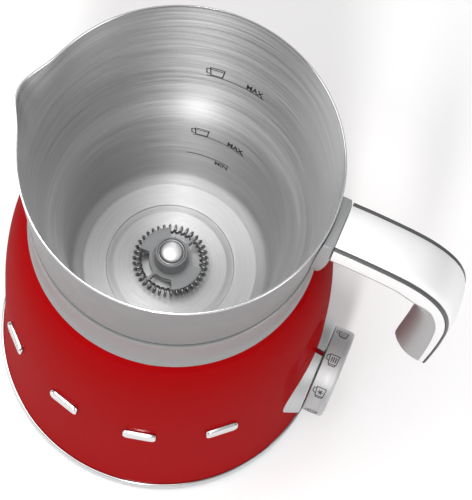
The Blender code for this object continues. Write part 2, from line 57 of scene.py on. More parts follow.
def extent(node, axis):
    """Lowest and highest coordinate of a CAD node along one axis, in millimetres."""
    low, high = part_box(node)
    return low[axis] / MM, high[axis] / MM


AXIS_X = sum(extent("base_ring", 0)) / 2
RIM_Z = extent("jug_vessel", 2)[1]
RIM_R = extent("jug_vessel", 1)[1]
RING_LOW_Z, RING_TOP_Z = extent("base_ring", 2)
RING_R = extent("base_ring", 1)[1]
DIAL_BACK, DIAL_FRONT = (x - AXIS_X for x in extent("control_dial", 0))
DIAL_Z = sum(extent("control_dial", 2)) / 2
DIAL_R = extent("control_dial", 1)[1]
POST_TOP_Z = extent("whisk_post", 2)[1]
WHISK_Z = sum(extent("frothing_coil", 2)) / 2

# ---------------------------------------------------------------- materials


class Graph:
    """Short hand for wiring a material's nodes."""

    def __init__(self, name, colour, metallic, roughness, **sockets):
        self.mat = bpy.data.materials.new(name)
        self.mat.use_nodes = True
        self.tree = self.mat.node_tree
        self.shader = self.tree.nodes["Principled BSDF"]
        self.set(self.shader, {"Base Color": (*colour, 1.0), "Metallic": metallic, "Roughness": roughness,
                               **sockets})
        self.coords = self.tree.nodes.new("ShaderNodeTexCoord").outputs["Object"]

    def set(self, node, values):
        for name, value in values.items():
            node.inputs[name].default_value = value

    def add(self, kind, inputs=(), **settings):
        """A node with its settings, and its inputs given in order as links, numbers or None."""
        node = self.tree.nodes.new("ShaderNode" + kind)
        for name, value in settings.items():
            setattr(node, name, value)
        for socket, value in zip(node.inputs, inputs):
            self.feed(socket, value)
        return node

    def feed(self, socket, value):
        if isinstance(value, bpy.types.NodeSocket):
            self.tree.links.new(value, socket)
        elif value is not None:
            socket.default_value = value

    def noise(self, vector, scale, detail=3.0, roughness=0.55):
        node = self.add("TexNoise")
        self.set(node, {"Scale": scale, "Detail": detail, "Roughness": roughness})
        self.feed(node.inputs["Vector"], vector)
        return node.outputs["Fac"]

    def ranged(self, value, low, high, new_low, new_high):
        return self.add("MapRange", (value, low, high, new_low, new_high)).outputs["Result"]

    def tint(self, value, dark, light):
        """A colour between two, by a value from 0 to 1, into the base colour."""
        ramp = self.add("ValToRGB", (value,))
        ramp.color_ramp.elements[0].color = (*dark, 1.0)
        ramp.color_ramp.elements[1].color = (*light, 1.0)
        self.feed(self.shader.inputs["Base Color"], ramp.outputs["Color"])

    def bump(self, height, strength, distance):
        node = self.add("Bump")
        self.set(node, {"Strength": strength, "Distance": distance})
        self.feed(node.inputs["Height"], height)
        self.feed(self.shader.inputs["Normal"], node.outputs["Normal"])


def shade(colour, factor):
    return tuple(c * factor for c in colour)


QUARTER_TURN = 0.25
SCRATCH_DEPTH = 0.00004


def brushed_metal(name, colour, roughness, axis="Z", density=3600.0, contrast=1.0, anisotropy=0.7):
    """Turned and brushed metal: fine scratches that run round an axis of the piece."""
    g = Graph(name, colour, 1.0, roughness, **{"Anisotropic": anisotropy, "Anisotropic Rotation": QUARTER_TURN})
    x, y, z = g.add("SeparateXYZ", (g.coords,)).outputs
    flat = {"Z": (x, y, 0.0), "X": (0.0, y, z), "Y": (x, 0.0, z)}[axis]
    along = {"Z": z, "X": x, "Y": y}[axis]
    across = g.add("CombineXYZ", flat).outputs[0]
    radius = g.add("VectorMath", (across,), operation="LENGTH").outputs["Value"]
    spoke = g.add("VectorMath", (across,), operation="NORMALIZE").outputs["Vector"]
    lane = g.add("Math", (radius, along), operation="ADD").outputs[0]
    direction = {"Z": (0.0, 0.0, 1.0), "X": (1.0, 0.0, 0.0), "Y": (0.0, 1.0, 0.0)}[axis]

    def scratches(per_metre, spread, detail):
        step = g.add("Math", (lane, per_metre), operation="MULTIPLY").outputs[0]
        shift = g.add("VectorMath", (direction,), operation="SCALE")
        g.feed(shift.inputs["Scale"], step)
        turn = g.add("VectorMath", (spoke,), operation="SCALE")
        g.set(turn, {"Scale": spread})
        spot = g.add("VectorMath", (turn.outputs[0], shift.outputs[0]), operation="ADD").outputs[0]
        return g.noise(spot, 1.0, detail)

    fine = scratches(density, 1.5, 3.0)
    broad = scratches(density / 9.0, 0.7, 2.0)
    mix = g.add("Math", (broad, 0.3, fine), operation="MULTIPLY_ADD").outputs[0]
    level = g.ranged(mix, 0.52, 0.78, 0.0, 1.0)
    dark = shade(colour, 1.0 - 0.16 * contrast)
    light = shade(colour, min(1.0 + 0.10 * contrast, 1 / max(colour)))
    g.tint(level, dark, light)
    g.feed(g.shader.inputs["Roughness"], g.ranged(mix, 0.5, 0.8, roughness * 0.88, roughness * 1.15))
    g.bump(fine, 0.22 * contrast, SCRATCH_DEPTH)
    tangent = g.add("Tangent", direction_type="RADIAL", axis=axis)
    g.feed(g.shader.inputs["Tangent"], tangent.outputs[0])
    return g.mat


def polished_metal(name, colour, roughness, metallic=1.0):
    """Smooth metal with faint wiping marks, from mirror bright to satin by its roughness."""
    g = Graph(name, colour, metallic, roughness, **{"Specular IOR Level": 0.2})
    smear = g.noise(g.coords, 38.0, 4.0, 0.65)
    g.feed(g.shader.inputs["Roughness"], g.ranged(smear, 0.3, 0.75, roughness * 0.9, roughness * 1.2))
    g.tint(smear, shade(colour, 0.965), colour)
    ripple = g.noise(g.coords, 260.0, 2.0)
    g.bump(ripple, 0.008, 0.00008)
    return g.mat


def enamel(name, colour):
    """Deep glossy paint under a thin clear coat with a trace of orange peel."""
    g = Graph(name, colour, 0.0, 0.5, **{"Coat Weight": 0.055, "Coat Roughness": 0.03, "Coat IOR": 1.4,
                                         "Specular IOR Level": 0.0})
    cloud = g.noise(g.coords, 14.0, 3.0)
    g.tint(cloud, shade(colour, 0.90), shade(colour, 1.07))
    g.bump(g.noise(g.coords, 420.0, 2.0), 0.03, 0.0001)
    return g.mat


def moulded(name, colour, roughness, grain=1500.0, depth=0.10, **sockets):
    """Plastic or rubber with moulded grain and slightly uneven gloss."""
    g = Graph(name, colour, 0.0, roughness, **sockets)
    patch = g.noise(g.coords, 70.0, 4.0)
    g.tint(patch, shade(colour, 0.88), shade(colour, 1.12))
    rough = g.ranged(patch, 0.3, 0.7, roughness * 0.85, min(roughness * 1.15, 1.0))
    g.feed(g.shader.inputs["Roughness"], rough)
    g.bump(g.noise(g.coords, grain, 3.0), depth, 0.00006)
    return g.mat


jug_inside = brushed_metal("jug_brushed_inside", (0.55, 0.55, 0.555), 0.52, contrast=0.9, anisotropy=0.85)
# The floor's brushed steel is lighter than the wall's: painted light from above on the jug's floor
jug_floor_lit_metal = brushed_metal("jug_floor_painted_light", (0.66, 0.66, 0.665), 0.48, contrast=0.7, anisotropy=0.75)
jug_outside = polished_metal("jug_polished_outside", (0.18, 0.18, 0.182), 0.40, 0.40)
polished = polished_metal("polished_steel", (0.25, 0.25, 0.253), 0.34, 0.40)
ring_chrome = polished_metal("ring_chrome", (0.42, 0.42, 0.425), 0.10)
rim_metal = polished_metal("rim_polished", (0.80, 0.80, 0.805), 0.20)
grip_metal = polished_metal("handle_grip_metal", (0.80, 0.80, 0.80), 0.24)
# Darker, less metallic copy of the grip's metal for the handle's belly: painted shade where the belly turns away from
# the light
belly_shaded_metal = polished_metal("handle_belly_painted_shade", (0.36, 0.36, 0.365), 0.42, 0.5)
satin_cover = polished_metal("handle_cover_metal", (0.86, 0.86, 0.86), 0.45, 0.5)
chrome = polished_metal("bright_chrome", (0.62, 0.62, 0.625), 0.12)
cap_metal = polished_metal("cap_satin", (0.86, 0.86, 0.865), 0.42)
dial_metal = brushed_metal("dial_brushed", (0.52, 0.525, 0.53), 0.62, axis="X", density=3200.0, contrast=0.8,
                           anisotropy=0.2)
bezel_metal = brushed_metal("bezel_brushed", (0.52, 0.525, 0.53), 0.50, axis="X", density=3200.0, contrast=0.5,
                            anisotropy=0.2)
part_steel = brushed_metal("small_parts_steel", (0.55, 0.55, 0.56), 0.36, contrast=0.8)
whisk_grey = moulded("whisk_grey_polymer", (0.38, 0.385, 0.39), 0.34)
wire_steel = polished_metal("coil_wire_steel", (0.42, 0.42, 0.425), 0.28)
red = enamel("red_enamel_gloss", (0.285, 0.002, 0.003))
pointer_red = enamel("pointer_dark_red", (0.16, 0.002, 0.004))
inlay_grey = moulded("inlay_dark_grey", (0.060, 0.061, 0.065), 0.45)
bracket_grey = moulded("bracket_satin_grey", (0.24, 0.243, 0.246), 0.34)
button_grey = moulded("button_satin_grey", (0.55, 0.555, 0.56), 0.36)
dark_plastic = moulded("dark_moulded_plastic", (0.035, 0.035, 0.038), 0.5)
pale_plastic = moulded("pale_moulded_plastic", (0.42, 0.43, 0.44), 0.5)
liner_grey = moulded("liner_grey_plastic", (0.16, 0.165, 0.17), 0.45)
rubber = moulded("black_rubber", (0.018, 0.018, 0.018), 0.82, grain=900.0, depth=0.25)
ink = moulded("printed_dark_mark", (0.012, 0.012, 0.013), 0.5)
copper = polished_metal("enamelled_copper", (0.62, 0.24, 0.10), 0.3)
ferrite = moulded("ferrite_black", (0.05, 0.05, 0.055), 0.6, grain=700.0, depth=0.3)
board = moulded("board_laminate", (0.015, 0.12, 0.05), 0.42, grain=500.0)

# ---------------------------------------------------------------- shaping tools


def rounded(points, steps=5):
    """A closed outline whose corners (u, v, radius) are turned into small arcs."""
    out = []
    for k, (u, v, radius) in enumerate(points):
        here = Vector((u, v))
        if radius == 0.0:
            out.append((u, v))
            continue
        before = Vector(points[k - 1][:2]) - here
        after = Vector(points[(k + 1) % len(points)][:2]) - here
        a = here + before.normalized() * min(radius, before.length * 0.45)
        b = here + after.normalized() * min(radius, after.length * 0.45)
        for j in range(steps + 1):
            t = j / steps
            p = a * (1 - t) ** 2 + here * 2 * t * (1 - t) + b * t * t
            out.append((p.x, p.y))
    return out


def spline(points, steps=8):
    """A smooth open curve through the points, as a list of tuples."""
    ends = [Vector(p) for p in points]
    ends = [ends[0] * 2 - ends[1]] + ends + [ends[-1] * 2 - ends[-2]]
    out = []
    for p0, p1, p2, p3 in zip(ends, ends[1:], ends[2:], ends[3:]):
        for j in range(steps):
            t = j / steps
            p = 0.5 * (p1 * 2 + (p2 - p0) * t + (p0 * 2 - p1 * 5 + p2 * 4 - p3) * t * t
                       + (p1 * 3 - p0 - p2 * 3 + p3) * t ** 3)
            out.append(tuple(p))
    out.append(tuple(ends[-2]))
    return out


def turned(outline, segments=192, axis="Z", bm=None):
    """Revolve a closed (radius, height) outline about an axis through the piece's origin."""
    bm = bm or bmesh.new()
    rings = []
    for radius, height in outline:
        count = 1 if radius < 1e-6 else segments
        ring = []
        for k in range(count):
            a, b = radius * math.cos(TAU * k / count), radius * math.sin(TAU * k / count)
            ring.append(bm.verts.new({"Z": (a, b, height), "X": (height, a, b), "Y": (b, height, a)}[axis]))
        rings.append(ring)
    for a, b in zip(rings, rings[1:] + rings[:1]):
        if len(a) == 1 and len(b) == 1:
            continue
        for k in range(segments):
            n = (k + 1) % segments
            corners = [a[k % len(a)], a[n % len(a)], b[n % len(b)], b[k % len(b)]]
            bm.faces.new(list(dict.fromkeys(corners)))
    return bm


def join_rings(bm, rings, second=range(0)):
    """Skin a row of equal loops and close both ends; the strips in second get the second material."""
    for a, b in zip(rings, rings[1:]):
        for j in range(len(a)):
            n = (j + 1) % len(a)
            bm.faces.new((a[j], a[n], b[n], b[j])).material_index = int(j in second)
    bm.faces.new(rings[0])
    bm.faces.new(rings[-1])


def prism(outline, low, high, place, bm=None):
    """Extrude a 2-D outline between two levels; place(u, v, w) gives the 3-D point."""
    bm = bm or bmesh.new()
    bottom = [bm.verts.new(place(u, v, low)) for u, v in outline]
    top = [bm.verts.new(place(u, v, high)) for u, v in outline]
    bm.faces.new(bottom)
    bm.faces.new(top)
    for k in range(len(outline)):
        n = (k + 1) % len(outline)
        bm.faces.new((bottom[k], bottom[n], top[n], top[k]))
    return bm


STROKE_STEP = 1.2


def strokes(lines, width, depth, place, bm=None):
    """Thin raised strokes along 2-D polylines, wrapped on to a surface by place(u, v, w)."""
    bm = bm or bmesh.new()
    for line in lines:
        for a, b in zip(line, line[1:]):
            run = Vector(b) - Vector(a)
            along = run.normalized()
            side = Vector((-along.y, along.x)) * width / 2
            start = Vector(a) - along * width / 2
            reach = run.length + width
            count = max(1, round(reach / STROKE_STEP))
            rings = []
            for k in range(count + 1):
                p = start + along * reach * k / count
                corners = ((-1, 0), (1, 0), (1, depth), (-1, depth))
                rings.append([bm.verts.new(place(*(p + side * s), w)) for s, w in corners])
            for p, q in zip(rings, rings[1:]):
                for j in range(4):
                    bm.faces.new((p[j], p[(j + 1) % 4], q[(j + 1) % 4], q[j]))
            bm.faces.new(rings[0])
            bm.faces.new(rings[-1])
    return bm


SHARP_ANGLE = 32.0


def make_piece(name, bm, mats, body, nodes=(), origin=(0.0, 0.0, 0.0), sharp=SHARP_ANGLE):
    """Place a bmesh drawn in millimetres round origin, give it its materials and let it ride on a body."""
    bmesh.ops.scale(bm, vec=(MM, MM, MM), verts=bm.verts)
    bmesh.ops.recalc_face_normals(bm, faces=bm.faces)
    mesh = bpy.data.meshes.new(name)
    bm.to_mesh(mesh)
    bm.free()
    mesh.shade_smooth()
    mesh.set_sharp_from_angle(angle=math.radians(sharp))
    for mat in mats:
        mesh.materials.append(mat)
    piece = bpy.data.objects.new(name, mesh)
    piece.location = (Vector(origin) + Vector((AXIS_X, 0.0, 0.0))) * MM
    bpy.context.scene.collection.objects.link(piece)
    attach(piece, body)
    if nodes:
        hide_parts(*nodes)
    return piece


def carve(piece, bm):
    """Cut a bmesh, drawn in millimetres round the piece's own origin, out of a piece for good."""
    bmesh.ops.scale(bm, vec=(MM, MM, MM), verts=bm.verts)
    bmesh.ops.recalc_face_normals(bm, faces=bm.faces)
    mesh = bpy.data.meshes.new("cutter")
    bm.to_mesh(mesh)
    bm.free()
    cutter = bpy.data.objects.new("cutter", mesh)
    bpy.context.scene.collection.objects.link(cutter)
    bpy.context.view_layer.update()
    cutter.matrix_world = piece.matrix_world.copy()
    mod = piece.modifiers.new("cut", "BOOLEAN")
    mod.operation = "DIFFERENCE"
    mod.solver = "EXACT"
    mod.object = cutter
    graph = bpy.context.evaluated_depsgraph_get()
    result = bpy.data.meshes.new_from_object(piece.evaluated_get(graph))
    piece.modifiers.remove(mod)
    piece.data = result
    result.set_sharp_from_angle(angle=math.radians(SHARP_ANGLE))
    bpy.data.objects.remove(cutter)


# ---------------------------------------------------------------- base

# (radius, height) down the outside of the shell
SHELL_LINE = [(54.2, 146.2), (56.2, 143.4), (58.4, 138.2), (60.4, 130.5), (62.1, 120.0), (63.5, 108.0),
              (64.7, 94.0), (65.6, 78.0), (66.5, 60.0), (67.6, 40.0), (68.9, 22.0), (70.15, 9.9)]
SHELL_WALL = 2.0
DIAL_HOLE_R = 15.5
RING_SEGMENTS = 256


def shell_radius(z):
    """Radius of the shell's outside at a height."""
    line = spline(SHELL_LINE)
    for (r0, z0), (r1, z1) in zip(line, line[1:]):
        if z1 <= z <= z0:
            return r0 + (r1 - r0) * (z0 - z) / (z0 - z1)
    return line[-1][0]


def build_shell():
    """The enamelled shell, with a round opening behind the dial."""
    outer = spline(SHELL_LINE)
    inner = [(r - SHELL_WALL, z) for r, z in reversed(outer[8:])]
    lip = [(52.45, 144.6), (52.45, 145.9), (52.7, 146.3), (53.3, 146.5), (53.9, 146.4)]
    shell = make_piece("red_shell", turned(outer + inner + lip, RING_SEGMENTS), [red], "base",
                       ["outer_shell"])
    hole = turned([(0.0, 50.0), (DIAL_HOLE_R, 50.0), (DIAL_HOLE_R, 80.0), (0.0, 80.0)], 96, "X")
    bmesh.ops.translate(hole, vec=(0.0, 0.0, DIAL_Z), verts=hole.verts)
    carve(shell, hole)


def build_collar():
    outer = spline([(54.0, 147.15), (53.2, 149.6), (52.75, 153.5), (52.6, 158.5), (52.75, 164.5),
                    (53.15, 170.0)])
    rest = [(53.1, 170.6), (52.8, 170.9), (52.3, 170.9), (52.0, 170.6), (51.8, 170.0), (51.8, 163.2),
            (50.9, 160.0), (50.9, 140.0), (52.0, 140.0), (52.0, 146.9), (53.6, 146.85)]
    make_piece("neck_ring", turned(outer + rest, RING_SEGMENTS), [polished], "base",
               ["neck_collar"])


def build_foot_ring():
    outline = rounded([(70.2, RING_TOP_Z, 0.2), (RING_R, RING_TOP_Z, 0.7), (RING_R, RING_LOW_Z, 0.8),
                       (67.5, RING_LOW_Z, 0.4), (67.5, RING_TOP_Z, 0.3)])
    make_piece("foot_ring", turned(outline, RING_SEGMENTS), [ring_chrome], "base", ["base_ring"])


BADGES = 4
BADGE_PITCH = 28.5
BADGE_FIRST = 226.0
BADGE_LEN = 13.0
BADGE_H = 6.5
BADGE_CORNER = 1.9
# (rise above the shell, inset of the outline) from the root of a bar to its dished face
BADGE_LEVELS = [(0.3, 0.0), (1.2, 0.0), (1.5, 0.15), (1.63, 0.45), (1.63, 0.95), (1.45, 1.25), (1.42, 1.6)]
CORNER_STEPS = 8


def rounded_bar(inset):
    """Outline of a badge's bar with its corners rounded, drawn in by inset."""
    corner = BADGE_CORNER - inset
    half_len, half_h = BADGE_LEN / 2 - BADGE_CORNER, BADGE_H / 2 - BADGE_CORNER
    loop = []
    for k, (side, up) in enumerate(((1, -1), (1, 1), (-1, 1), (-1, -1))):
        for step in range(CORNER_STEPS + 1):
            a = math.radians(90.0 * k - 90.0 + 90.0 * step / CORNER_STEPS)
            loop.append((side * half_len + corner * math.cos(a), up * half_h + corner * math.sin(a)))
    return loop


def build_badges():
    """Plain bars wrapped round the front of the shell."""
    middle = sum(extent("badge_1", 2)) / 2
    for index in range(BADGES):
        turn = math.radians(BADGE_FIRST + BADGE_PITCH * index)
        bm = bmesh.new()
        rings = []
        for rise, inset in BADGE_LEVELS:
            ring = []
            for u, v in rounded_bar(inset):
                radius = shell_radius(middle + v)
                a = turn + u / radius
                out = radius + rise
                ring.append(bm.verts.new((out * math.cos(a), out * math.sin(a), middle + v)))
            rings.append(ring)
        join_rings(bm, rings)
        node = "badge_%d" % (index + 1)
        make_piece("front_" + node, bm, [chrome], "base", [node])


BEZEL_BACK, BEZEL_FRONT = (x - AXIS_X for x in extent("dial_bezel", 0))
BEZEL_SLOPE = 0.41
BEZEL_FRONT_R = extent("dial_bezel", 1)[1] - BEZEL_SLOPE * (BEZEL_FRONT - BEZEL_BACK)
BEZEL_WALL = 1.9


def bezel_radius(station):
    """Outside radius of the flared ring round the dial, at a distance from the common axis."""
    return BEZEL_FRONT_R + BEZEL_SLOPE * (BEZEL_FRONT - station)


def build_bezel():
    step = BEZEL_FRONT - 1.6
    outline = rounded([(bezel_radius(BEZEL_BACK), BEZEL_BACK, 0.0),
                       (bezel_radius(BEZEL_FRONT), BEZEL_FRONT, 0.7), (9.0, BEZEL_FRONT, 0.3), (9.0, step, 0.3),
                       (bezel_radius(step) - BEZEL_WALL, step, 1.0),
                       (bezel_radius(BEZEL_BACK) - BEZEL_WALL, BEZEL_BACK, 0.0)])
    ring = make_piece("dial_base_ring", turned(outline, 160, "X"), [bezel_metal], "base",
                      ["dial_bezel"], (0.0, 0.0, DIAL_Z))
    slot_tip = BEZEL_FRONT - 0.05
    slot_box = [(60.0, -1.1), (slot_tip + 1.0, -1.1), (slot_tip + 1.0, 1.1), (60.0, 1.1)]
    carve(ring, prism(slot_box, 15.0, 30.0, lambda u, v, w: (u, v, w)))
    tip = rounded([(61.0, -0.8, 0.2), (slot_tip, -0.8, 0.4), (slot_tip, 0.8, 0.4), (61.0, 0.8, 0.2)])
    mark = prism(tip, 0.0, 1.0, lambda u, v, w: (u, v, bezel_radius(u) - BEZEL_WALL - 0.6 + w * 1.2))
    make_piece("pointer_mark", mark, [pointer_red], "base", ["dial_pointer"], (0.0, 0.0, DIAL_Z))


# The dial's signs: a mug, and what stands for each setting inside it
MUG = [[(-1.7, -2.2), (-2.0, 1.9), (2.0, 1.9), (1.7, -2.2), (-1.7, -2.2)],
       [(-2.0, 1.4), (-3.0, 1.2), (-3.1, -0.6), (-1.9, -1.2)],
       [(-1.4, -2.2), (-1.2, -2.9), (1.2, -2.9), (1.4, -2.2)]]
STEAM = [[(x, 0.9), (x + 0.35, 0.4), (x - 0.1, -0.2), (x + 0.25, -0.8), (x, -1.3)] for x in (-0.9, 0.0, 0.9)]
FLAKE = [[(-1.0, -0.2), (1.0, -0.2)], [(-0.5, -1.07), (0.5, 0.67)], [(-0.5, 0.67), (0.5, -1.07)]]
DROP = [[(0.0, 1.1), (0.8, -0.4), (0.45, -1.1), (-0.45, -1.1), (-0.8, -0.4), (0.0, 1.1)]]
LEVEL_LOW = [[(-1.8, -0.9), (1.8, -0.9)]]
LEVEL_HIGH = [[(-1.9, 0.5), (1.9, 0.5)]]
DOT_SPOTS = ((-0.8, 0.7), (0.7, 0.6), (0.0, 0.0), (-0.7, -0.8), (0.8, -0.7))
DOTS = [[(x - 0.25, y), (x + 0.25, y)] for x, y in DOT_SPOTS]
BARS = [[(-1.1, y), (1.1, y)] for y in (0.7, 0.0, -0.7)]
SIGNS = [STEAM, FLAKE, LEVEL_HIGH + DOTS[3:], DROP, LEVEL_LOW, BARS, DOTS, LEVEL_HIGH + LEVEL_LOW]
SIGN_WIDTH = 0.34
SIGN_DEPTH = 0.07


def build_dial():
    outline = rounded([(17.7, DIAL_BACK, 0.6), (DIAL_R, DIAL_BACK, 0.7), (DIAL_R, DIAL_FRONT, 1.8),
                       (11.5, DIAL_FRONT, 1.5), (8.7, DIAL_FRONT - 1.4, 0.4), (8.7, DIAL_BACK, 0.2)])
    make_piece("dial_knob", turned(outline, 200, "X"), [dial_metal], "dial", ["control_dial"],
               (0.0, 0.0, DIAL_Z))
    centre = DIAL_BACK + 4.3
    for index, inner in enumerate(SIGNS):
        turn = math.pi / 2 + TAU * index / len(SIGNS)

        def place(u, v, w):
            radius = DIAL_R - 0.02 + w
            return (centre + u, radius * math.cos(turn - v / DIAL_R), radius * math.sin(turn - v / DIAL_R))

        sign = strokes(MUG + inner, SIGN_WIDTH, SIGN_DEPTH, place)
        make_piece("dial_sign_%d" % (index + 1), sign, [ink], "dial", (), (0.0, 0.0, DIAL_Z))


def build_button():
    back, front = (x - AXIS_X for x in extent("start_button", 0))
    face = [(0.0, front - 0.45), (3.0, front - 0.40), (5.6, front - 0.2), (6.8, front), (7.4, front - 0.1)]
    outline = face + rounded([(8.0, front - 0.2, 0.6), (8.0, back + 1.0, 0.1), (7.2, back + 1.0, 0.1),
                              (7.2, back, 0.2), (0.0, back, 0.0)])[1:]
    make_piece("dial_button", turned(outline, 96, "X"), [button_grey], "button", ["start_button"],
               (0.0, 0.0, DIAL_Z))

    def place(u, v, w):
        return (front - 0.42 + w, u, v)

    arc = [(2.6 * math.sin(a), 2.6 * math.cos(a)) for a in (math.radians(35 + 290 * k / 24) for k in range(25))]
    sign = strokes([arc, [(0.0, 3.2), (0.0, 0.6)]], 0.45, 0.08, place)
    make_piece("button_sign", sign, [ink], "button", (), (0.0, 0.0, DIAL_Z))


def build_underside():
    """The rubber feet and the bush where the mains lead would leave."""
    for k in range(4):
        node = "foot_%d" % (k + 1)
        low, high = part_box(node)
        centre = (low + high) / 2 / MM
        top = high.z / MM
        outline = rounded([(0.0, 0.35, 0.0), (3.6, 0.35, 0.2), (4.2, 0.0, 0.3), (6.4, 0.0, 0.5),
                           (7.0, 0.7, 0.3), (7.0, top, 0.2), (0.0, top, 0.0)])
        make_piece("rubber_" + node, turned(outline, 64), [rubber], "base", [node],
                   (centre.x - AXIS_X, centre.y, 0.0))
    low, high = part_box("cord_gland")
    gland_z = (low.z + high.z) / 2 / MM
    face = high.y / MM
    outline = rounded([(2.4, face, 0.3), (5.2, face, 0.4), (5.6, face - 0.6, 0.1), (4.2, face - 0.7, 0.1),
                       (4.2, face - 6.9, 0.2), (2.4, face - 6.9, 0.2)])
    make_piece("cord_bush", turned(outline, 64, "Y"), [rubber], "base", ["cord_gland"],
               (0.0, 0.0, gland_z))


# ---------------------------------------------------------------- jug

JUG_FLOOR_Z = 98.5
JUG_UNDER_Z = 97.5
JUG_SEGMENTS = 288
# (radius, height) and, where a corner is rounded, its radius
JUG_OUTER = [(54.6, 210.0), (53.9, 196.0), (53.1, 183.0), (52.55, 172.4)]
JUG_NECK = [(52.5, 171.9, 0.3), (51.9, 170.9, 0.4), (51.45, 170.2, 0.5), (51.2, 163.0, 3.0),
            (48.4, 155.2, 3.0), (44.2, 149.8, 3.0), (42.55, 145.5, 3.0), (42.1, 138.0, 3.0),
            (41.0, 108.0, 6.0), (40.2, 101.5, 3.0), (37.4, JUG_UNDER_Z, 2.5)]
JUG_WALL_INSIDE = [(35.6, JUG_FLOOR_Z, 1.6), (38.4, 99.6, 1.5), (39.6, 102.4, 2.0), (40.2, 108.0, 4.0),
                   (41.2, 138.0, 3.0), (41.75, 146.4, 3.5), (43.9, 150.9, 3.5), (48.0, 156.4, 4.5),
                   (50.3, 163.2, 5.0), (51.0, 170.6, 3.0)]
JUG_SHOULDER = (51.55, 176.0)
JUG_INNER = [(52.3, 183.0), (53.1, 196.0), (53.8, 210.0)]
JUG_METALS = [jug_inside, jug_outside, jug_floor_lit_metal, rim_metal]
INSIDE, OUTSIDE, FLOOR, LIP = range(4)
GROOVE_R = 23.8
GROOVE_DEPTH = 0.6
SPOUT_REACH = 4.6
SPOUT_HALF_ANGLE = 15.0
SPOUT_DEPTH = 30.0


def inside_radius(z):
    """Radius of the jug's inside wall at a height."""
    line = [p[:2] for p in JUG_WALL_INSIDE] + JUG_INNER + [(RIM_R - 0.8, RIM_Z)]
    for (r0, z0), (r1, z1) in zip(line, line[1:]):
        if z0 <= z <= z1:
            return r0 + (r1 - r0) * (z - z0) / (z1 - z0)
    return RIM_R


def pull_spout(bm):
    """Draw the rim out into a pouring lip on the side away from the handle."""
    low = RIM_Z - SPOUT_DEPTH
    for v in bm.verts:
        if v.co.z > low and v.co.x < 0.0:
            off = 180.0 - abs(math.degrees(math.atan2(v.co.y, v.co.x)))
            fall = math.exp(-((off / SPOUT_HALF_ANGLE) ** 2) * 2.2)
            pull = SPOUT_REACH * fall * ((v.co.z - low) / SPOUT_DEPTH) ** 1.7
            v.co += Vector((v.co.x, v.co.y, 0.0)).normalized() * pull


def build_jug():
    """The turned jug: outside, underside, floor with its groove, inside and lip are one closed outline."""
    wall_out = spline([(RIM_R, RIM_Z - 0.4)] + JUG_OUTER, 6)
    neck = rounded([(*wall_out[-2], 0.0)] + JUG_NECK + [(0.0, JUG_UNDER_Z, 0.0)])[1:]
    groove = rounded([(0.0, JUG_FLOOR_Z, 0.0), (GROOVE_R - 1.5, JUG_FLOOR_Z, 0.3),
                      (GROOVE_R + 1.2, JUG_FLOOR_Z - GROOVE_DEPTH, 0.12), (GROOVE_R + 1.5, JUG_FLOOR_Z, 0.12),
                      (GROOVE_R + 3.0, JUG_FLOOR_Z, 0.0)])[1:]
    inside = rounded([(GROOVE_R + 3.0, JUG_FLOOR_Z, 0.0)] + JUG_WALL_INSIDE + [(*JUG_SHOULDER, 0.0)])[1:]
    wall_in = spline([JUG_SHOULDER] + JUG_INNER + [(RIM_R - 0.8, RIM_Z - 0.5)], 6)[1:]
    lip = [(RIM_R - 0.72, RIM_Z - 0.2), (RIM_R - 0.5, RIM_Z), (RIM_R - 0.3, RIM_Z), (RIM_R - 0.08, RIM_Z - 0.15)]
    outside = wall_out + neck
    bm = turned(outside + [(0.0, JUG_FLOOR_Z)] + groove + inside + wall_in + lip, JUG_SEGMENTS)
    bm.verts.index_update()
    inside_start = JUG_SEGMENTS * (len(outside) - 1) + 1
    lip_start = len(bm.verts) - JUG_SEGMENTS * len(lip)
    for face in bm.faces:
        order = [v.index for v in face.verts]
        if max(order) >= lip_start:
            face.material_index = LIP
        elif min(order) < inside_start:
            face.material_index = OUTSIDE
        else:
            # Flat faces of the floor take the lighter steel, which is painted light
            flat = max(v.co.z for v in face.verts) < JUG_FLOOR_Z + 0.01
            face.material_index = FLOOR if flat else INSIDE
    pull_spout(bm)
    make_piece("jug_body", bm, JUG_METALS, "jug", ["jug_vessel"], sharp=40.0)


CUP = [[(-2.2, 0.7), (-2.7, 5.6), (2.7, 5.6), (2.2, 0.7), (-2.2, 0.7)], [(-2.6, 4.5), (2.6, 4.5)],
       [(-2.7, 5.0), (-4.0, 4.7), (-3.8, 1.9), (-2.3, 1.4)]]


MARK_DEPTH = 0.06
LETTER_STRETCH = 1.4
# name, height, first and last angle of the line, word, angle of the mug or None, shift of the word up the wall
MARKS = [("upper", 171.0, 100.5, 75.0, "MAX", 96.5, 0.6), ("lower", 136.5, 102.5, 73.0, "MAX", 98.0, 0.6),
         ("least", 118.5, 104.5, 80.0, "MIN", None, -4.1)]


def letters(word, height):
    """The outline of a word as a flat mesh, in millimetres, standing on its base line."""
    curve = bpy.data.curves.new("word", "FONT")
    curve.body = word
    curve.size = height * 1.4  # a capital is about 0.7 of the font's size
    curve.extrude = 0.04
    curve.offset = 0.06
    carrier = bpy.data.objects.new("word", curve)
    bpy.context.scene.collection.objects.link(carrier)
    bpy.context.view_layer.update()
    mesh = bpy.data.meshes.new_from_object(carrier.evaluated_get(bpy.context.evaluated_depsgraph_get()))
    bm = bmesh.new()
    bm.from_mesh(mesh)
    bpy.data.objects.remove(carrier)
    bpy.data.meshes.remove(mesh)
    bmesh.ops.remove_doubles(bm, verts=bm.verts, dist=1e-5)
    return bm


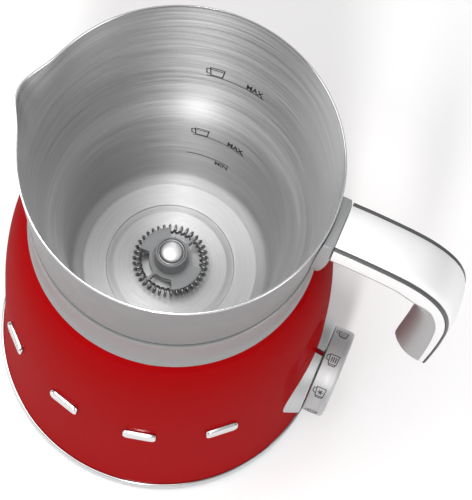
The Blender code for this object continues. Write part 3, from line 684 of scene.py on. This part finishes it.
def build_marks():
    """Fill marks printed on the inside wall."""
    for name, z, left, right, word, cup_at, rise in MARKS:
        radius = inside_radius(z)

        def place(u, v, w, turn=0.0, z=z, radius=radius):
            a = math.radians(turn) - u / radius
            r = inside_radius(z + v) - w
            return (r * math.cos(a), r * math.sin(a), z + v)

        span = math.radians(left - right) * radius
        bm = strokes([[(0.0, 0.0), (span, 0.0)]], 0.36, MARK_DEPTH, lambda u, v, w: place(u, v, w, left))
        if cup_at is not None:
            strokes(CUP, 0.42, MARK_DEPTH, lambda u, v, w: place(u, v, w, cup_at), bm)
        text = letters(word, 2.3)
        width = max(v.co.x for v in text.verts)
        text_turn = right + math.degrees(width / radius) + 0.6
        for v in text.verts:
            v.co = place(v.co.x, v.co.y * LETTER_STRETCH + rise, v.co.z + MARK_DEPTH / 2, text_turn)
        scratch = bpy.data.meshes.new("scratch")
        text.to_mesh(scratch)
        text.free()
        bm.from_mesh(scratch)
        bpy.data.meshes.remove(scratch)
        make_piece("level_mark_" + name, bm, [ink], "jug")


# ---------------------------------------------------------------- whisk


POST_R = 4.4
HUB_IN_R = 5.4
WHISK_TOP_Z = 107.0
WINDOWS = ((4.0, 63.0), (68.0, 114.0), (184.0, 243.0), (248.0, 294.0))  # first and last angle of each
WINDOW_STEPS = 16


def build_whisk():
    """Centre post with its domed tip, the bush round it, and the whisk's hub with windows cut in it."""
    post_low = JUG_FLOOR_Z + 0.02
    dome_r = POST_R - 0.3
    dome = [(dome_r * math.cos(a) + 0.3 * math.cos(a) ** 0.2, POST_TOP_Z - 1.2 + 1.2 * math.sin(a))
            for a in (math.radians(6 * k) for k in range(15))]
    foot = [(0.0, post_low), (POST_R + 1.2, post_low), (POST_R + 1.2, 99.3), (POST_R + 0.9, 99.6),
            (POST_R + 0.3, 99.75), (POST_R, 100.2)]
    outline = foot + dome + [(0.0, POST_TOP_Z)]
    make_piece("centre_post", turned(outline, 96), [cap_metal], "jug", ["whisk_post"])
    sleeve = rounded([(4.7, 100.2, 0.1), (5.1, 100.2, 0.1), (5.1, 115.0, 0.15), (4.7, 115.0, 0.15)])
    make_piece("whisk_sleeve", turned(sleeve, 96), [part_steel], "bush", ["whisk_bush"])
    low = extent("whisk_carrier", 2)[0]
    flange_r = extent("whisk_carrier", 0)[1] - AXIS_X
    flange_low = extent("frothing_coil", 2)[1] + 0.35
    hub = rounded([(HUB_IN_R, low, 0.1), (10.9, low, 0.3), (10.9, flange_low, 0.1), (flange_r, flange_low, 0.2),
                   (flange_r, WHISK_TOP_Z - 0.2, 0.3), (11.9, WHISK_TOP_Z, 0.4), (7.3, WHISK_TOP_Z, 0.1),
                   (7.1, WHISK_TOP_Z - 0.35, 0.05), (6.65, WHISK_TOP_Z - 0.35, 0.05), (6.55, 108.5, 0.5),
                   (6.35, 113.0, 1.0), (6.2, 115.1, 0.4), (HUB_IN_R, 115.4, 0.15)])
    carrier = make_piece("whisk_hub", turned(hub, 160), [whisk_grey], "whisk", ["whisk_carrier"])
    cutters = bmesh.new()
    for first, last in WINDOWS:
        sweep = [first + (last - first) * k / WINDOW_STEPS for k in range(WINDOW_STEPS + 1)]
        inner = [(8.4 + 0.5 * (abs(2 * k / WINDOW_STEPS - 1) ** 6), a) for k, a in enumerate(sweep)]
        loop = inner + [(14.0, a) for a in reversed(sweep)]
        outline = [(r * math.cos(math.radians(a)), r * math.sin(math.radians(a))) for r, a in loop]
        prism(outline, 99.0, 110.0, lambda u, v, w: (u, v, w), cutters)
    carve(carrier, cutters)


COIL_TURNS = 38


def build_coil(per_turn=20, sides=8, ring_r=13.15, minor_r=1.45, wire_r=0.5):
    """One closed wire wound round a ring; each loop stands radially and steps on to the next at its inner side."""
    bm = bmesh.new()
    count = COIL_TURNS * per_turn
    rings = []
    for k in range(count):
        loop, step = divmod(k, per_turn)
        swing = TAU * step / per_turn
        jog = min(max((step / per_turn - 0.3) / 0.4, 0.0), 1.0)
        turn = TAU / COIL_TURNS * (loop + jog)
        out = Vector((math.cos(turn), math.sin(turn), 0.0))
        up = Vector((0.0, 0.0, 1.0))
        spoke = out * math.cos(swing) + up * math.sin(swing)
        centre = out * ring_r + spoke * minor_r
        side = up.cross(out)
        rings.append([bm.verts.new(centre + (spoke * math.cos(a) + side * math.sin(a)) * wire_r)
                      for a in (TAU * j / sides for j in range(sides))])
    for a, b in zip(rings, rings[1:] + rings[:1]):
        for j in range(sides):
            n = (j + 1) % sides
            bm.faces.new((a[j], a[n], b[n], b[j]))
    make_piece("froth_wire", bm, [wire_steel], "whisk", ["frothing_coil"], (0.0, 0.0, WHISK_Z),
               sharp=90.0)


# ---------------------------------------------------------------- handle

# distance from the axis, height, and how deep the grip's flat sides run before its belly starts
HANDLE_PATH = [(58.4, 214.0, 10.2), (66.0, 213.6, 10.2), (74.0, 212.7, 10.2), (81.0, 211.5, 10.2),
               (87.5, 209.6, 10.2), (93.2, 206.3, 10.2), (98.0, 201.7, 9.2), (101.6, 195.6, 6.0),
               (104.0, 188.0, 5.0), (105.3, 179.0, 4.2), (105.6, 168.0, 3.7), (105.5, 157.0, 3.3),
               (105.2, 147.0, 3.0), (104.9, 139.0, 2.8)]
HALF = 9.3
BELLY = -14.2
# The belly strips take the darker copy of the grip's metal, which is painted shade
BELLY_STRIPS = range(7, 31)
COVER_TIP = 6.9
GRIP_TIP = 8.4
TIP_STATIONS = 12


def cover_section(_):
    """Crowned strip on top of the handle, the same all along."""
    return rounded([(-8.0, -1.3, 0.0), (8.0, -1.3, 0.0), (8.0, -0.05, 0.35), (5.4, 0.6, 2.0), (0.0, 0.95, 3.0),
                    (-5.4, 0.6, 2.0), (-8.0, -0.05, 0.35)])


def tray_section(_):
    """Dark tray that the cover lies in, the same all along."""
    return rounded([(-8.6, -2.4, 0.0), (8.6, -2.4, 0.0), (8.6, -0.95, 0.0), (HALF, -0.95, 0.15),
                    (HALF, -0.3, 0.35), (8.2, -0.15, 0.2), (8.2, -1.6, 0.0), (-8.2, -1.6, 0.0),
                    (-8.2, -0.15, 0.2), (-HALF, -0.3, 0.35), (-HALF, -0.95, 0.15), (-8.6, -0.95, 0.0)])


def grip_section(depth):
    """Flat sides down to the given depth, then a belly that is squarer where the sides are deep."""
    squareness = 1.0 - 0.05 * (depth - 3.0)
    half = [(8.7, -2.7), (8.7, -1.3), (8.8, -1.25), (HALF - 0.2, -1.25), (HALF - 0.05, -1.3), (HALF, -1.5),
            (HALF, -depth), (HALF - 0.12, -depth - 0.18)]
    belly_r = HALF - 0.12
    for step in range(1, 12):
        a = math.radians(7.5 * step)
        down = (BELLY + depth) * math.sin(a) ** squareness
        half.append((belly_r * math.cos(a) ** squareness, min(-depth - 0.2, -depth + down)))
    return half + [(0.0, BELLY)] + [(-across, out) for across, out in reversed(half)]


def swept(section_at, tip, second=range(0)):
    """Sweep an (across, outwards) section along the handle, narrowing over its free end."""
    path = spline(HANDLE_PATH, 5)
    depths = [point[2] for point in path]
    spots = [Vector((point[0], 0.0, point[1])) for point in path]
    stations = []
    for k, depth in enumerate(depths):
        tangent = spots[min(k + 1, len(path) - 1)] - spots[max(k - 1, 0)]
        stations.append((spots[k], tangent.normalized() if k else Vector((1.0, 0.0, 0.0)), 1.0, depth))
    end, run = spots[-1], (spots[-1] - spots[-2]).normalized()
    for k in range(1, TIP_STATIONS + 1):
        share = k / TIP_STATIONS
        narrow = math.sqrt(max(0.0, 1.0 - (share * 0.86) ** 2.4))
        stations.append((end + run * tip * share, run, narrow, depths[-1]))
    bm = bmesh.new()
    rings = []
    for spot, t, scale, depth in stations:
        outward = Vector((-t.z, 0.0, t.x))
        rings.append([bm.verts.new(spot + Vector((0.0, s * scale, 0.0)) + outward * n)
                      for s, n in section_at(depth)])
    join_rings(bm, rings, second)
    return bm


def build_handle():
    """The cover, the dark tray that shows as a line beside it, and the grip with its screw hole."""
    make_piece("handle_top", swept(cover_section, COVER_TIP), [satin_cover], "jug",
               ["handle_cover"])
    make_piece("handle_dark_line", swept(tray_section, GRIP_TIP), [inlay_grey], "jug",
               ["handle_inlay"])
    # The grip's belly strips get the darker metal copy, as painted shade
    grip = make_piece("handle_under", swept(grip_section, GRIP_TIP, BELLY_STRIPS), [grip_metal, belly_shaded_metal],
                      "jug", ["handle_grip"])
    low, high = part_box("handle_screw")
    screw_at = ((low + high) / 2 / MM).x - AXIS_X
    hole = [(0.0, 190.0), (3.0, 190.0), (3.0, 203.5), (1.5, 203.5), (1.5, 208.0), (0.0, 208.0)]
    hole_bm = turned(hole, 48)
    bmesh.ops.translate(hole_bm, vec=(screw_at, 0.0, 0.0), verts=hole_bm.verts)
    carve(grip, hole_bm)


def build_bracket():
    """The block that joins the handle to the jug, its side faces rounded and its seat bent to the jug wall."""
    seat_gap = 0.35
    # height, share of the full width, distance of the face that the handle meets
    levels = [(214.6, 0.93, 58.0), (214.2, 0.98, 58.3), (213.4, 1.0, 58.35), (206.0, 1.0, 58.35),
              (200.0, 1.0, 58.3), (195.0, 0.985, 57.9), (190.0, 0.95, 57.2), (186.0, 0.88, 56.3),
              (183.0, 0.78, 55.5), (181.2, 0.62, 54.9)]
    bm = bmesh.new()
    rings = []
    across = [math.sin(math.radians(a)) for a in range(-90, 91, 10)]
    for z, widen, face in levels:
        half = 9.8 * widen
        wall = 52.5 + (z - 171.5) * (RIM_R - 52.5) / (RIM_Z - 171.5) + seat_gap
        back = [(math.sqrt(wall ** 2 - (half * s) ** 2), half * s) for s in across]
        front = [(face - 0.9 * abs(s) ** 8, half * s) for s in reversed(across)]
        rings.append([bm.verts.new((x, y, z)) for x, y in back + front])
    join_rings(bm, rings)
    make_piece("handle_block", bm, [bracket_grey], "jug", ["handle_bracket"], sharp=45.0)


# ---------------------------------------------------------------- carried-over CAD nodes

CAD_LOOKS = {
    "dark_plastic": dark_plastic, "light_plastic": pale_plastic, "grey_plastic": liner_grey,
    "ferrite": ferrite, "copper": copper, "board": board, "chrome_trim": chrome,
    "brushed_steel": part_steel, "sensor_steel": part_steel, "polished_steel": polished,
    "red_enamel": red, "black_rubber": rubber}


def dress_cad_nodes():
    """Give every CAD node the look of its slot, and soften the edges of those that show."""
    slots = {entry["node"]: entry["material_slot"] for entry in frame["record"]["subparts"]}
    for name, node in frame["nodes"].items():
        node.data.materials.clear()
        node.data.materials.append(CAD_LOOKS[slots[name]])
        if not node.hide_render:
            bevel = node.modifiers.new("edge", "BEVEL")
            bevel.width = 0.15 * MM
            bevel.segments = 2
            bevel.limit_method = "ANGLE"
            bevel.angle_limit = math.radians(50.0)


# ---------------------------------------------------------------- stage, lights, camera

FLOOR_HALF = 4.0
LIGHTS_AIM = Vector((0.0, 0.0, 0.12))
SENSOR_WIDTH = 36.0


def build_stage():
    bm = bmesh.new()
    bmesh.ops.create_grid(bm, x_segments=1, y_segments=1, size=FLOOR_HALF)
    mesh = bpy.data.meshes.new("floor")
    bm.to_mesh(mesh)
    bm.free()
    floor = bpy.data.objects.new("floor", mesh)
    bpy.context.scene.collection.objects.link(floor)
    g = Graph("pale_floor", (0.86, 0.86, 0.86), 0.0, 0.9)
    g.tint(g.noise(g.coords, 3.0), (0.85, 0.85, 0.85), (0.87, 0.87, 0.87))
    mesh.materials.append(g.mat)


def softbox(name, spot, size, power):
    """A soft rectangular light that faces the object."""
    light = bpy.data.lights.new(name, "AREA")
    light.shape = "RECTANGLE"
    light.size, light.size_y = size
    light.energy = power
    lamp = bpy.data.objects.new(name, light)
    lamp.location = spot
    lamp.rotation_euler = (LIGHTS_AIM - Vector(spot)).to_track_quat("-Z", "Y").to_euler()
    bpy.context.scene.collection.objects.link(lamp)


DOME_LOW = 0.25
DOME_HIGH = 0.66


def build_world():
    """A soft studio dome, bright overhead and dim towards the horizon."""
    world = bpy.data.worlds.new("studio")
    bpy.context.scene.world = world
    world.use_nodes = True
    nodes, links = world.node_tree.nodes, world.node_tree.links
    coords = nodes.new("ShaderNodeTexCoord")
    split = nodes.new("ShaderNodeSeparateXYZ")
    links.new(coords.outputs["Generated"], split.inputs[0])
    height = nodes.new("ShaderNodeMapRange")
    height.interpolation_type = "SMOOTHSTEP"
    for name, value in (("From Min", 0.25), ("From Max", 0.85), ("To Min", DOME_LOW), ("To Max", DOME_HIGH)):
        height.inputs[name].default_value = value
    links.new(split.outputs["Z"], height.inputs["Value"])
    background = nodes["Background"]
    background.inputs["Color"].default_value = (1.0, 1.0, 1.0, 1.0)
    links.new(height.outputs["Result"], background.inputs["Strength"])


def build_lights():
    softbox("overhead", (-0.22, -0.12, 1.6), (1.0, 0.7), 8.5)
    softbox("front_key", (0.16, -0.84, 1.1), (0.14, 0.5), 9.5)
    softbox("left_box", (-1.1, -0.4, 0.6), (0.9, 0.9), 6.0)
    softbox("right_box", (1.1, -0.4, 0.5), (0.5, 0.7), 2.5)


CAM_YAW, CAM_PITCH, CAM_ROLL = (math.radians(a) for a in (-10.59, 71.35, 12.43))
CAM_EYE = Vector((63.2, -206.8, 770.75))
CAM_LENS = 128.9


def build_camera():
    """A camera above and in front of the object, looking steeply down and rolled a little."""
    reach = math.cos(CAM_PITCH)
    forward = Vector((math.sin(CAM_YAW) * reach, math.cos(CAM_YAW) * reach, -math.sin(CAM_PITCH)))
    level = Vector((math.cos(CAM_YAW), -math.sin(CAM_YAW), 0.0))
    top = level.cross(forward)
    right = level * math.cos(CAM_ROLL) + top * math.sin(CAM_ROLL)
    up = top * math.cos(CAM_ROLL) - level * math.sin(CAM_ROLL)
    data = bpy.data.cameras.new("camera")
    data.lens = CAM_LENS
    data.sensor_width = SENSOR_WIDTH
    camera = bpy.data.objects.new("camera", data)
    turn = Matrix((right, up, -forward)).transposed().to_4x4()
    camera.matrix_world = Matrix.Translation((CAM_EYE + Vector((AXIS_X, 0.0, 0.0))) * MM) @ turn
    bpy.context.scene.collection.objects.link(camera)
    bpy.context.scene.camera = camera


bpy.context.scene.view_settings.view_transform = "Standard"
build_camera()
build_stage()
build_world()
build_lights()
build_shell()
build_collar()
build_foot_ring()
build_badges()
build_bezel()
build_dial()
build_button()
build_underside()
build_jug()
build_marks()
build_whisk()
build_coil()
build_handle()
build_bracket()
dress_cad_nodes()
